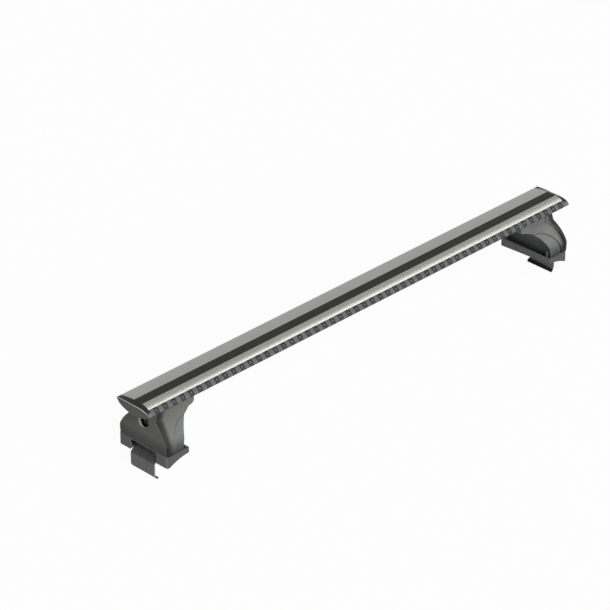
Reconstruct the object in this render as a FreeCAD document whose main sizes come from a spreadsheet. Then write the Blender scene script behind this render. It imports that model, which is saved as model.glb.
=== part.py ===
import FreeCAD, Part
import math
import os

import Sketcher

# Roof rack crossbar: an aerofoil aluminium bar on two clamp feet.
# The frame stands on the tips of the two hook lips: X runs along the bar, Y points to the car's rear, Z up.
# Every foot piece is modelled once, at the end with the lower X, and mirrored to the other end.

SIZES = [
    ("bar_length", 1080, "length of the extrusion between its end caps"),
    ("bar_top", 157.4, "height of the bar's top surface above the hook tips"),
    ("bar_height", 24.8, "top surface to the lowest line of the belly"),
    ("slot_y", -5, "place of the top slot's centre line across the bar"),
    ("strip_width", 21, "width of the rubber strip in the top slot"),
    ("nose_top_reach", 27.1, "slot centre to the upper edge of the nose strip"),
    ("nose_top_drop", 5.2, "drop of that edge below the top surface"),
    ("front_reach", 37, "slot centre to the leading edge"),
    ("front_drop", 13.1, "drop of the leading edge"),
    ("nose_low_reach", 32.6, "slot centre to the lower edge of the nose strip"),
    ("nose_low_drop", 16.4, "drop of that edge"),
    ("tail_low_reach", 39, "slot centre to the rear end of the belly"),
    ("tail_low_drop", 14.7, "drop of that end"),
    ("tail_reach", 45.2, "slot centre to the trailing edge"),
    ("tail_drop", 6.4, "drop of the trailing edge"),
    ("tail_thickness", 2.9, "height of the rounded trailing edge"),
    ("crown_front_radius", 54, "top surface between slot and nose"),
    ("crown_back_radius", 290, "top surface between slot and tail"),
    ("nose_radius", 13.5, "upper round of the leading edge"),
    ("nose_low_radius", 4, "lower round of the leading edge"),
    ("belly_radius", 74, "round of the underside"),
    ("tail_low_radius", 60, "round between belly and trailing edge"),
    ("tail_radius", 1.9, "round of the trailing edge"),
    ("bar_wall", 2.2, "wall of the extrusion"),
    ("slot_lip", 3, "thickness of the lips beside the top slot"),
    ("slot_undercut", 3.2, "how far the top slot runs under each lip"),
    ("slot_depth", 7.2, "depth of the top slot under its lips"),
    ("low_mouth", 10, "mouth of the slot in the underside"),
    ("low_width", 22, "width of that slot inside"),
    ("low_height", 9.4, "height of that slot inside"),
    ("low_lip", 2.6, "thickness of its lips"),
    ("nose_seat_depth", 3, "depth of the seat behind the nose strip"),
    ("notch_pitch", 20.7, "distance between the notches of the nose strip"),
    ("notch_length", 10.5, "length of a notch along the strip"),
    ("notch_depth", 1.2, "depth of a notch"),
    ("notch_stud_radius", 2.3, "eight-sided stud in each notch, middle to corner"),
    ("fit_gap", 0.15, "clearance between pieces pressed together"),
    ("run_gap", 0.3, "clearance between pieces that move on each other"),
    ("cap_thickness", 10.2, "thickness of an end cap outside the bar"),
    ("cap_edge", 0.8, "how far the cap draws in at its outer face"),
    ("cap_slope", 3.6, "fall of the cap's top from the bar to its outer face"),
    ("plug_length", 18, "length of a cap's plugs inside the bar"),
    ("foot_width", 124.5, "base tray, front to rear"),
    ("tray_start", 14.3, "bar end to the outer wall of the base tray"),
    ("tray_length", 52, "base tray along the bar"),
    ("tray_top", 60.4, "height of the tray's rim"),
    ("tray_outer_low", 36.5, "lowest edge of the tray's outer wall"),
    ("tray_low_rear", 43.4, "lowest edge of its inner wall at the rear"),
    ("tray_low_front", 50.3, "lowest edge of its inner wall at the front"),
    ("arch_start", 1.8, "tray's outer wall to the start of its curved underside"),
    ("arch_rear_radius", 190, "round of the tray's underside at the rear"),
    ("arch_front_radius", 104, "round of the tray's underside at the front"),
    ("tray_wall", 3.2, "wall of the tray"),
    ("tray_floor", 3, "floor of the tray"),
    ("tray_corner", 7, "round of the tray's front corner on the outer side"),
    ("tray_small_corner", 2.5, "round of its other upright corners"),
    ("tray_rim_step", 1.2, "rim of the tray that shows beside the cover"),
    ("ledge_height", 54, "height of the ledge that the inner body stands on"),
    ("ledge_width", 10, "width of that ledge"),
    ("notch_margin", 3, "free width beside the bracket in the tray's notch"),
    ("notch_top", 58, "height of the notch's upper edge"),
    ("notch_reach", 33, "bar end to the inboard end of the notch"),
    ("shoulder_radius", 87, "round of the foot's shoulders seen along the bar"),
    ("shoulder_overhang", 7.45, "how far that round, if whole, would stand out past the foot's wall"),
    ("shoulder_height", 44.2, "height of that round's centre"),
    ("neck_half_width", 29.5, "middle plane to the neck under the bar"),
    ("neck_top", 141, "upper end of the saddle's side walls"),
    ("cover_wall", 3.4, "wall of the outer cover"),
    ("face_radius", 150, "swell of the cover's outer face seen from the side"),
    ("face_top_x", 27, "bar end to the upper edge of the outer face"),
    ("face_corner", 2.2, "round between the outer face and its edge"),
    ("waist_round", 10, "round where the face plate's upright edges meet its shoulders"),
    ("neck_round", 3, "round where the shoulders meet its neck"),
    ("column_inset", 1.6, "step from the face plate's edge in to the cover's side walls"),
    ("plate_foot_x", 28, "bar end to the back of the face plate at its foot"),
    ("plate_neck_x", 42, "the same at the neck"),
    ("plate_neck_z", 119, "height at which the face plate meets the neck"),
    ("plate_back_radius", 39, "hollow round of the face plate's back edge"),
    ("arch_x", 78, "bar end to the centre of the cover's arched edge"),
    ("arch_z", 60, "height of that centre"),
    ("arch_radius", 49.7, "radius of the arched edge"),
    ("tongue_low", 117.7, "height of the underside of the tongue"),
    ("tongue_reach", 111, "bar end to the tip of the tongue"),
    ("tongue_round", 8, "round of the tongue's tip"),
    ("access_radius", 11, "hole for the key in the outer face"),
    ("access_rim", 2, "chamfer round that hole"),
    ("access_height", 107.5, "height of that hole"),
    ("screw_height", 105, "height of the clamp screw"),
    ("body_step", 0.5, "free width between cover and inner body"),
    ("body_wall", 3.6, "wall of the inner body"),
    ("body_start", 27.2, "bar end to the web behind the washer"),
    ("body_foot_reach", 57, "bar end to the inboard edge of the inner body at its foot"),
    ("body_head_reach", 104, "the same at its head"),
    ("body_edge_radius", 56, "round of that edge"),
    ("body_shelf", 4.2, "shelf at the top of the inner body"),
    ("screw_web", 3.4, "web that the clamp screw passes through"),
    ("screw_web_low", 92, "lower edge of that web"),
    ("panel_x", 53, "bar end to the panel that closes the body's recess"),
    ("panel_wall", 2.4, "thickness of that panel"),
    ("panel_low", 66, "lower edge of that panel"),
    ("screw_radius", 3, "shank of the clamp screw"),
    ("screw_length", 28, "length of the clamp screw under its head"),
    ("head_radius", 5.5, "head of the clamp screw"),
    ("head_height", 4, "height of that head"),
    ("socket_size", 5, "width of the key socket across its flats"),
    ("socket_depth", 2.4, "depth of that socket"),
    ("washer_radius", 6.5, "washer under the head"),
    ("washer_thickness", 1.2, "thickness of that washer"),
    ("thread_gap", 0.08, "clearance between the screw and the barrel nut"),
    ("nut_radius", 5, "round of the barrel nut"),
    ("nut_length", 22, "length of the barrel nut"),
    ("bracket_width", 60.4, "clamp bracket, front to rear"),
    ("bracket_y", 1.5, "middle of the bracket across the foot"),
    ("sheet", 2.5, "thickness of the bracket's steel"),
    ("plate_x", 12.85, "bar end to the middle of the bracket's upright plate"),
    ("lip_run", 7.2, "length of the lip along the bar"),
    ("bend_rise", 33, "height of the bend between plate and limb"),
    ("tab_x", 36, "bar end to the middle of the bracket's upright tab"),
    ("tab_top", 111.5, "upper end of that tab"),
    ("tab_width", 30, "width of that tab"),
    ("bend_round", 2, "inner round of the bracket's bends"),
    ("tab_shoulder", 4, "top of the ears to the shoulders below the tab"),
    ("slot_height", 12, "height of the slot in the tab"),
    ("ear_radius", 8, "round of the bracket's ears about the pin"),
    ("groove_width", 1.8, "width of a pressed groove"),
    ("groove_depth", 0.7, "depth of a pressed groove"),
    ("pin_x", 42.1, "bar end to the pivot pin"),
    ("pin_height", 68.6, "height of the pivot pin"),
    ("pin_radius", 3, "radius of the pivot pin"),
    ("pin_gap", 0.05, "running clearance of the ears on the pin"),
    ("pin_rim", 0.8, "free ring around the pin's ends in the body's walls"),
    ("pin_recess", 1.2, "depth of that ring"),
    ("pin_short", 0.5, "how far the pin's ends lie inside the body's walls"),
    ("pad_wall", 0.6, "rubber on the hook lip"),
    ("stud_radius", 2.4, "upright posts inside the tray's inner rim"),
    ("stud_top", 71.5, "height of those posts"),
    ("stud_x", 60.5, "bar end to the posts"),
    ("stud_inset", 11, "tray's front or rear wall to a post's middle"),
    ("plate_length", 46, "T-plate in the bar's lower slot"),
    ("plate_thickness", 5, "thickness of the T-plate"),
    ("plate_width", 19, "width of the T-plate"),
    ("bolt_radius", 3, "bolts that hold the T-plate"),
    ("bolt_head_radius", 4.5, "heads of those bolts"),
    ("bolt_head_height", 4, "height of those heads"),
    ("bolt_spacing", 13, "distance between those bolts"),
    ("bolt_x", 68, "bar end to the middle of the two bolts"),
]


class Value:
    """A size that carries its number and the sheet formula that gives it."""

    def __init__(self, number, formula):
        self.number = number
        self.formula = formula

    def __add__(self, other):
        other = value(other)
        return Value(self.number + other.number, f"({self.formula} + {other.formula})")

    def __sub__(self, other):
        other = value(other)
        return Value(self.number - other.number, f"({self.formula} - {other.formula})")

    def __mul__(self, other):
        other = value(other)
        return Value(self.number * other.number, f"({self.formula} * {other.formula})")

    def __truediv__(self, other):
        other = value(other)
        return Value(self.number / other.number, f"({self.formula} / {other.formula})")

    def __neg__(self):
        return Value(-self.number, f"(0 - {self.formula})")

    def __rsub__(self, other):
        return value(other) - self

    __radd__ = __add__
    __rmul__ = __mul__


def value(item):
    """Turn a plain number into a Value."""
    return item if isinstance(item, Value) else Value(float(item), repr(float(item)))


def root(item):
    """Square root of a Value."""
    return Value(math.sqrt(item.number), f"sqrt({item.formula})")


def slope(rise, run):
    """Angle of a slope as a Value, in degrees."""
    return Value(math.degrees(math.atan2(rise.number, run.number)), f"atan2({rise.formula}; {run.formula})")


doc = FreeCAD.newDocument("roof_rack_crossbar")
sheet_object = doc.addObject("Spreadsheet::Sheet", "sizes")
size = {}
for row, (alias, number, meaning) in enumerate(SIZES, start=1):
    sheet_object.set(f"A{row}", alias)
    sheet_object.set(f"B{row}", str(number))
    sheet_object.set(f"C{row}", meaning)
    sheet_object.setAlias(f"B{row}", alias)
    size[alias] = Value(float(number), f"sizes.{alias}")
doc.recompute()

UP = FreeCAD.Vector(0, 0, 1)
PLANES = {
    "plan": (FreeCAD.Rotation(), FreeCAD.Vector(0, 0, 1), "z"),
    "side": (FreeCAD.Rotation(FreeCAD.Vector(1, 0, 0), 90), FreeCAD.Vector(0, 1, 0), "y"),
    "across": (FreeCAD.Rotation(FreeCAD.Vector(1, 1, 1), 120), FreeCAD.Vector(1, 0, 0), "x"),
}


def bind(item, path, amount):
    """Tie a property of an object to the formula of a Value."""
    item.setExpression(path, value(amount).formula)


def place(item, x=0, y=0, z=0):
    """Tie an object's place to Values."""
    for axis, amount in (("x", x), ("y", y), ("z", z)):
        if isinstance(amount, Value) or amount:
            bind(item, f".Placement.Base.{axis}", amount)
    return item


def arc_between(start, end, radius):
    """Arc from start to end that swells to the right of the way travelled, or left if radius is negative."""
    chord = end - start
    half = chord.Length / 2
    reach = math.sqrt(max(radius * radius - half * half, 0))
    left = FreeCAD.Vector(-chord.y, chord.x, 0)
    left.normalize()
    centre = (start + end) / 2 + left * (reach if radius > 0 else -reach)
    first, last = (start, end) if radius > 0 else (end, start)
    circle = Part.Circle(centre, UP, abs(radius))
    return Part.ArcOfCircle(circle, circle.parameter(first), circle.parameter(last))


def draw(sketch, corners):
    """Draw a closed outline of (across, up, radius) corners; radius rounds the stretch to the next corner."""
    points = [(value(corner[0]), value(corner[1])) for corner in corners]
    vectors = [FreeCAD.Vector(across.number, up.number, 0) for across, up in points]
    begins = []
    ends = []
    for index, corner in enumerate(corners):
        start = vectors[index]
        end = vectors[(index + 1) % len(vectors)]
        radius = value(corner[2]) if len(corner) > 2 else None
        if radius is None:
            edge = sketch.addGeometry(Part.LineSegment(start, end))
            begins.append((edge, 1))
            ends.append((edge, 2))
            continue
        edge = sketch.addGeometry(arc_between(start, end, radius.number))
        forward = radius.number > 0
        begins.append((edge, 1 if forward else 2))
        ends.append((edge, 2 if forward else 1))
        rule = sketch.addConstraint(Sketcher.Constraint("Radius", edge, abs(radius.number)))
        sketch.setExpression(f"Constraints[{rule}]", radius.formula if forward else (-radius).formula)
    for index, (across, up) in enumerate(points):
        edge, end = begins[index]
        previous = ends[index - 1]
        sketch.addConstraint(Sketcher.Constraint("Coincident", *previous, edge, end))
        for kind, amount in (("DistanceX", across), ("DistanceY", up)):
            rule = sketch.addConstraint(Sketcher.Constraint(kind, -1, 1, edge, end, amount.number))
            sketch.setExpression(f"Constraints[{rule}]", amount.formula)
    return sketch


def free_sketch(name, plane, offset=0):
    """Empty sketch on one of the three main planes, moved along that plane's normal."""
    rotation, _, axis = PLANES[plane]
    sketch = doc.addObject("Sketcher::SketchObject", name)
    sketch.Placement = FreeCAD.Placement(FreeCAD.Vector(), rotation)
    if isinstance(offset, Value) or offset:
        bind(sketch, f".Placement.Base.{axis}", offset)
    return sketch


def extrude(name, sketch, plane, length, both_ways=False):
    """Straight solid of a sketch along the normal of its plane."""
    solid = doc.addObject("Part::Extrusion", name)
    solid.Base = sketch
    solid.DirMode = "Custom"
    solid.Dir = PLANES[plane][1]
    solid.Solid = True
    solid.Symmetric = both_ways
    bind(solid, "LengthFwd", length)
    return solid


def prism(name, plane, corners, length, start=0, both_ways=False):
    """Straight solid of an outline, from start or about it along the plane's normal."""
    sketch = draw(free_sketch(name + "_outline", plane, start), corners)
    return extrude(name, sketch, plane, length, both_ways)


def box(name, low, high):
    """Block between two corners."""
    solid = doc.addObject("Part::Box", name)
    for axis, edge, first, last in zip("xyz", ("Length", "Width", "Height"), low, high):
        bind(solid, edge, value(last) - first)
        bind(solid, f".Placement.Base.{axis}", first)
    return solid


def rod(name, axis, centre, radius, length, both_ways=True):
    """Round bar along x, y or z, about its centre or from it."""
    turn = {"x": FreeCAD.Rotation(FreeCAD.Vector(0, 1, 0), 90),
            "y": FreeCAD.Rotation(FreeCAD.Vector(1, 0, 0), -90),
            "z": FreeCAD.Rotation()}[axis]
    solid = doc.addObject("Part::Cylinder", name)
    solid.Placement = FreeCAD.Placement(FreeCAD.Vector(), turn)
    bind(solid, "Radius", radius)
    bind(solid, "Height", length)
    start = dict(zip("xyz", (value(item) for item in centre)))
    if both_ways:
        start[axis] = start[axis] - value(length) / 2
    for name_of_axis, amount in start.items():
        bind(solid, f".Placement.Base.{name_of_axis}", amount)
    return solid


def cut(name, base, *tools):
    """Base with every tool taken away."""
    for index, tool in enumerate(tools, start=1):
        result = doc.addObject("Part::Cut", name if index == len(tools) else f"{name}_cut_{index}")
        result.Base = base
        result.Tool = tool
        base = result
    return base


def fuse(name, *shapes):
    """One solid of several."""
    result = doc.addObject("Part::MultiFuse", name)
    result.Shapes = list(shapes)
    result.Refine = True
    return result


def common(name, *shapes):
    """What several solids share."""
    result = doc.addObject("Part::MultiCommon", name)
    result.Shapes = list(shapes)
    return result


def round_edges(name, base, radius_of):
    """Solid with rounded edges; radius_of gives an edge's radius, or None where it stays sharp."""
    doc.recompute()
    rounded = doc.addObject("Part::Fillet", name)
    rounded.Base = base
    chosen = []
    for number, edge in enumerate(base.Shape.Edges, start=1):
        radius = radius_of(edge)
        if radius:
            chosen.append((number, radius.number, radius.number))
    rounded.Edges = chosen
    return rounded


def origin_feature(body, role):
    """One of a body's own main planes or axes."""
    return next(item for item in body.Origin.OriginFeatures if item.Role == role)


def attached_sketch(body, name, role, angle=None, **offset):
    """Empty sketch on one of a body's main planes, tipped by angle about its first axis and moved."""
    sketch = body.newObject("Sketcher::SketchObject", name)
    sketch.AttachmentSupport = (origin_feature(body, role), [""])
    sketch.MapMode = "FlatFace"
    if angle:
        tip = FreeCAD.Rotation(FreeCAD.Vector(1, 0, 0), angle.number)
        sketch.AttachmentOffset = FreeCAD.Placement(FreeCAD.Vector(), tip)
        bind(sketch, ".AttachmentOffset.Rotation.Angle", angle)
    for axis, amount in offset.items():
        bind(sketch, f".AttachmentOffset.Base.{axis}", amount)
    return sketch


def feature(body, kind, name, profile, length, both_ways=False):
    """Pad or Pocket of a body's sketch."""
    result = body.newObject(f"PartDesign::{kind}", name)
    result.Profile = profile
    result.SideType = "Symmetric" if both_ways else "One side"
    bind(result, "Length", length)
    doc.recompute()
    return result


def group(name, *shapes):
    """Separate solids of one kind that share a node."""
    result = doc.addObject("Part::Compound", name)
    result.Links = list(shapes)
    return result


nodes = []


def node(label, item):
    """Name an object as a sub-part."""
    item.Label = label
    nodes.append(item)
    return item


# Bar section, measured from the middle of the top slot on the top surface

half_strip = size["strip_width"] / 2
slot_y = size["slot_y"]
bar_top = size["bar_top"]
bar_length = size["bar_length"]


def at(across, down, *radius):
    """Corner of the bar's section: across from the slot's middle and down from the top surface."""
    return (slot_y + across, bar_top - down) + radius


nose_upper = (-size["nose_top_reach"], size["nose_top_drop"])
nose_tip = (-size["front_reach"], size["front_drop"])
nose_lower = (-size["nose_low_reach"], size["nose_low_drop"])
belly_rear = (size["tail_low_reach"], size["tail_low_drop"])
seat_upper = (nose_upper[0] + size["nose_seat_depth"] * 0.35, nose_upper[1] + size["nose_seat_depth"])
seat_lower = (nose_lower[0] + size["nose_seat_depth"] * 0.6, nose_lower[1] - size["nose_seat_depth"] * 0.8)

nose_share = 0.2


def rear_outline(fall=0):
    """Belly, tail and rear top surface, round to the top slot, where the surface lies lower by fall."""
    half_tail = size["tail_thickness"] / 2
    inner_tail = size["tail_reach"] - size["tail_radius"] / 2
    return [
        at(*nose_lower, size["belly_radius"]),
        at(*belly_rear, size["tail_low_radius"]),
        at(size["tail_reach"], size["tail_drop"] + half_tail * 0.4, size["tail_radius"]),
        at(inner_tail, size["tail_drop"] - half_tail * 1.2, size["crown_back_radius"]),
        at(half_strip, fall),
    ]


def whole_outline(fall=0):
    """Whole section with its nose strip and a closed top slot; its crown lies lower by fall."""
    return [
        at(-half_strip, fall, size["crown_front_radius"]),
        at(nose_upper[0], nose_upper[1] + fall * nose_share, size["nose_radius"]),
        at(*nose_tip, size["nose_low_radius"]),
    ] + rear_outline(fall)


def chamber_side():
    """Half width of the core between the two side chambers, without its walls."""
    return half_strip + size["slot_undercut"]


def chamber(name, rear, wall, start, length):
    """Prism of one of the bar's two side chambers, whose walls are wall thick."""
    side = chamber_side() + wall
    belly = size["bar_height"] - wall * 1.5
    if rear:
        outline = [
            at(side, belly), at(belly_rear[0] - wall * 1.6, belly_rear[1] - wall * 0.9),
            at(size["tail_reach"] - wall * 3, size["tail_drop"] + wall * 0.6), at(side, wall * 1.2),
        ]
    else:
        outline = [
            at(-side, wall * 1.2), at(nose_upper[0] + wall * 2, nose_upper[1] + wall * 0.2),
            at(seat_upper[0] + wall * 0.8, seat_upper[1] + wall * 0.6),
            at(seat_lower[0] + wall * 0.8, seat_lower[1] + wall * 0.35), at(-side, belly),
        ]
    return prism(name, "across", outline, length, start)


def make_bar():
    """Aluminium extrusion: outer section less two side chambers and the two slots."""
    outline = [
        at(-half_strip, 0, size["crown_front_radius"]),
        at(*nose_upper),
        at(*seat_upper),
        at(*seat_lower),
    ] + rear_outline()
    outer = prism("bar_outer", "across", outline, bar_length, both_ways=True)
    reach = bar_length * 0.6
    chambers = [chamber(f"bar_chamber_{rear}", rear, size["bar_wall"], -reach, reach * 2) for rear in (0, 1)]
    slot_half = chamber_side()
    low_half = size["low_width"] / 2
    low = bar_top - size["bar_height"] * 2
    mouth = box("top_mouth", (-reach, slot_y - half_strip, bar_top - size["slot_lip"] * 1.5),
                (reach, slot_y + half_strip, bar_top + size["bar_height"]))
    slot = box("top_slot", (-reach, slot_y - slot_half, bar_top - size["slot_lip"] - size["slot_depth"]),
               (reach, slot_y + slot_half, bar_top - size["slot_lip"]))
    low_floor = bar_top - size["bar_height"] + size["low_lip"]
    low_slot = box("low_slot", (-reach, slot_y - low_half, low_floor),
                   (reach, slot_y + low_half, low_floor + size["low_height"]))
    low_mouth = box("low_mouth_cut", (-reach, slot_y - size["low_mouth"] / 2, low),
                    (reach, slot_y + size["low_mouth"] / 2, low_floor + size["low_lip"]))
    return node("crossbar", cut("bar", outer, *chambers, mouth, slot, low_slot, low_mouth))


def make_slot_strip():
    """Rubber strip: a flush top, a neck between the lips and two legs down to the slot's floor."""
    gap = size["fit_gap"]
    neck = half_strip - gap
    hook = half_strip + size["slot_undercut"] * 0.6
    under = size["slot_lip"] + gap
    hook_low = under + size["slot_lip"] * 0.6
    floor = size["slot_lip"] + size["slot_depth"]
    inner = neck - size["slot_lip"]
    outline = [
        at(-neck, 0), at(-neck, under), at(-hook, under), at(-neck, hook_low), at(-neck, floor),
        at(-inner, floor), at(-inner, size["slot_lip"]), at(inner, size["slot_lip"]), at(inner, floor),
        at(neck, floor), at(neck, hook_low), at(hook, under), at(neck, under), at(neck, 0),
    ]
    return node("slot_strip", prism("strip", "across", outline, bar_length, both_ways=True))


def make_nose_strip():
    """Strip along the leading edge, flat behind, with a row of notches that each hold a stud."""
    body = doc.addObject("PartDesign::Body", "nose")
    profile = draw(attached_sketch(body, "nose_profile", "YZ_Plane"), [
        at(*nose_upper, size["nose_radius"]), at(*nose_tip, size["nose_low_radius"]),
        at(*nose_lower), at(*seat_lower), at(*seat_upper),
    ])
    feature(body, "Pad", "nose_pad", profile, bar_length, both_ways=True)

    run = nose_upper[0] - nose_tip[0]
    fall = nose_tip[1] - nose_upper[1]
    chord = root(run * run + fall * fall)
    inward = (fall / chord, run / chord)
    depth = size["notch_depth"]
    count = int(bar_length.number / size["notch_pitch"].number)
    row_length = size["notch_pitch"] * (count - 1)
    first = -(row_length / 2)

    floor_upper, floor_tip = ((point[0] + inward[0] * depth, point[1] + inward[1] * depth)
                              for point in (nose_upper, nose_tip))
    front = nose_tip[0] - depth * 2
    above = nose_upper[1] - depth * 2
    notch_outline = draw(attached_sketch(body, "notch_outline", "YZ_Plane", z=first), [
        at(*floor_upper, size["nose_radius"]), at(*floor_tip), at(front, floor_tip[1]), at(front, above),
        at(floor_upper[0], above),
    ])
    notch = feature(body, "Pocket", "notch", notch_outline, size["notch_length"], both_ways=True)

    swell = size["nose_radius"] - root(size["nose_radius"] * size["nose_radius"] - chord * chord / 4)
    foot_depth = depth * 1.5 - swell
    across = (nose_upper[0] + nose_tip[0]) / 2 + inward[0] * foot_depth
    down = (nose_upper[1] + nose_tip[1]) / 2 + inward[1] * foot_depth
    turns = [math.radians(22.5 + 45 * number) for number in range(8)]
    radius = size["notch_stud_radius"]
    stud_sketch = attached_sketch(body, "stud_outline", "XY_Plane", slope(fall, run),
                                  x=first, y=slot_y + across, z=bar_top - down)
    stud_outline = draw(stud_sketch, [(radius * math.cos(turn), radius * math.sin(turn)) for turn in turns])
    stud = feature(body, "Pad", "stud", stud_outline, depth * 1.5)

    row = body.newObject("PartDesign::LinearPattern", "notch_row")
    row.Originals = [notch, stud]
    row.Direction = (origin_feature(body, "X_Axis"), [""])
    row.Mode = "Extent"
    bind(row, "Length", row_length)
    row.Occurrences = count
    body.Tip = row
    return node("nose_strip", body)


def shrink(corners, factor):
    """The same outline, smaller by a factor about the middle of the bar's section."""
    middle = (slot_y + (size["tail_reach"] - size["front_reach"]) / 2, bar_top - size["bar_height"] / 2)
    smaller = []
    for corner in corners:
        moved = tuple(centre + (amount - centre) * factor for centre, amount in zip(middle, corner[:2]))
        smaller.append(moved + tuple(radius * factor for radius in corner[2:]))
    return smaller


def make_cap():
    """End cap: the bar's section with a crown that falls to the outer face, and two plugs."""
    end = -bar_length / 2
    face = end - size["cap_thickness"]
    lowered = whole_outline(size["cap_slope"])
    sections = (
        (face, shrink(lowered, 1 - size["cap_edge"] * 2 / size["bar_height"])),
        (face + size["cap_edge"], lowered),
        (end, whole_outline()),
    )
    shell = doc.addObject("Part::Loft", "cap_shell")
    shell.Sections = [draw(free_sketch(f"cap_section_{number}", "across", place_of), outline)
                      for number, (place_of, outline) in enumerate(sections)]
    shell.Solid = True
    shell.Ruled = True
    root_length = size["cap_thickness"] / 4
    plugs = [chamber(f"plug_{rear}", rear, size["bar_wall"] + size["fit_gap"], end - root_length,
                     size["plug_length"] + root_length) for rear in (0, 1)]
    return node("end_cap_left", fuse("cap", shell, *plugs))


# Foot, seen along the bar: a shoulder round, a neck under the bar and upright walls

foot_origin = -bar_length / 2
foot_half_width = size["foot_width"] / 2 - size["tray_rim_step"]
shoulder_centre = size["shoulder_radius"] - size["shoulder_overhang"] - foot_half_width


def shoulder(inset, half_width):
    """Height at which the shoulder round, moved in by inset, is half_width from the middle plane."""
    radius = size["shoulder_radius"] - inset
    across = half_width + shoulder_centre
    return size["shoulder_height"] + root(radius * radius - across * across)


def bell(name, inset, low, high, x_from, x_to):
    """Prism along the bar of the foot's outline, moved in by inset all round."""
    wide = foot_half_width - inset
    neck = size["neck_half_width"] - inset
    waist = shoulder(inset, wide)
    neck_low = shoulder(inset, neck)
    radius = size["shoulder_radius"] - inset
    outline = [
        (-wide, low), (wide, low), (wide, waist, radius), (neck, neck_low), (neck, high),
        (-neck, high), (-neck, neck_low, radius), (-wide, waist),
    ]
    return prism(name, "across", outline, value(x_to) - x_from, x_from)


def belly_groove(name, gap, x_from, x_to):
    """Rod of the bar's belly round, wider by gap, that cuts a saddle."""
    centre_z = bar_top + belly_centre_drop()
    radius = size["belly_radius"] + gap
    return rod(name, "x", (x_from, belly_centre_y(), centre_z), radius, value(x_to) - x_from, both_ways=False)


def belly_centre_y():
    """Place across the bar of the belly round's centre."""
    return slot_y + (nose_lower[0] + belly_rear[0]) / 2 + belly_tilt()


def belly_tilt():
    """Sideways shift of that centre, because the two ends of the belly differ in height."""
    rise = nose_lower[1] - belly_rear[1]
    span = belly_rear[0] - nose_lower[0]
    chord = root(span * span + rise * rise)
    reach = root(size["belly_radius"] * size["belly_radius"] - chord * chord / 4)
    return -(reach * rise / chord)


def belly_centre_drop():
    """Height of that centre above the top surface."""
    rise = nose_lower[1] - belly_rear[1]
    span = belly_rear[0] - nose_lower[0]
    chord = root(span * span + rise * rise)
    reach = root(size["belly_radius"] * size["belly_radius"] - chord * chord / 4)
    return reach * span / chord - (nose_lower[1] + belly_rear[1]) / 2


far_inboard = size["tongue_reach"] * 1.4
overcut = size["cover_wall"] * 1.5


def face_centre():
    """Middle of the round of the cover's outer face, seen from the side."""
    run = size["face_top_x"] - size["tray_start"]
    rise = size["neck_top"] - size["tray_top"]
    chord = root(run * run + rise * rise)
    reach = root(size["face_radius"] * size["face_radius"] - chord * chord / 4) / chord
    return ((size["face_top_x"] + size["tray_start"]) / 2 + rise * reach,
            (size["neck_top"] + size["tray_top"]) / 2 - run * reach)


def face_x(height):
    """Bar end to the cover's outer face at a height."""
    centre_x, centre_z = face_centre()
    up = height - centre_z
    return centre_x - root(size["face_radius"] * size["face_radius"] - up * up)


def face_edge_radius(edge):
    """Round of the face plate's edge: every edge on the swollen face but its level ones."""
    centre_x, centre_z = face_centre()
    off = [abs(math.hypot(point.x - centre_x.number, point.z - centre_z.number) - size["face_radius"].number)
           for point in edge.discretize(5)]
    return size["face_corner"] if max(off) < 0.01 and edge.BoundBox.ZLength > 0.1 else None


def bell_edge_radius(edge):
    """Round of the face plate's level edges, at its waist and at its neck."""
    box_of = edge.BoundBox
    inside = size["tray_top"].number + 1 < box_of.ZMin < size["neck_top"].number - 1
    if not inside or box_of.ZLength + box_of.YLength > 0.01:
        return None
    at_waist = abs(box_of.YMin) > size["neck_half_width"].number + 1
    return size["waist_round"] if at_waist else size["neck_round"]


def make_face_plate():
    """Plate of the cover: swollen outside, with a hollow back edge that sweeps inboard to the neck."""
    outline = [
        (size["tray_start"], size["tray_top"]),
        (size["plate_foot_x"], size["tray_top"], -size["plate_back_radius"]),
        (size["plate_neck_x"], size["plate_neck_z"]),
        (size["plate_neck_x"], size["neck_top"]),
        (size["face_top_x"], size["neck_top"], size["face_radius"]),
    ]
    side = prism("plate_side", "side", outline, size["foot_width"] * 1.5, both_ways=True)
    bell_of_plate = bell("plate_bell", 0, size["tray_top"], size["neck_top"], 0, far_inboard)
    waisted = round_edges("plate_waisted", common("plate_blank", bell_of_plate, side), bell_edge_radius)
    return round_edges("face_plate", waisted, face_edge_radius)


def make_column():
    """Side walls and saddle of the cover, set in from the face plate's edge, and its tongue under the bar."""
    low = size["tray_top"]
    high = size["neck_top"]
    tip = size["tongue_reach"]
    tongue_low = size["tongue_low"]
    turn = size["tongue_round"]
    wall = size["cover_wall"]
    arch_top = size["arch_z"] + size["arch_radius"]
    outline = [
        (size["tray_start"] + wall, low), (size["arch_x"], low), (size["arch_x"], arch_top),
        (tip - turn, tongue_low, turn), (tip, tongue_low + turn), (tip, high),
        (size["face_top_x"] + wall, high),
    ]
    side = prism("column_side", "side", outline, size["foot_width"] * 1.5, both_ways=True)
    bell_of_column = bell("column_bell", size["column_inset"], low, high, 0, far_inboard)
    return common("column", bell_of_column, side)


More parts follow.
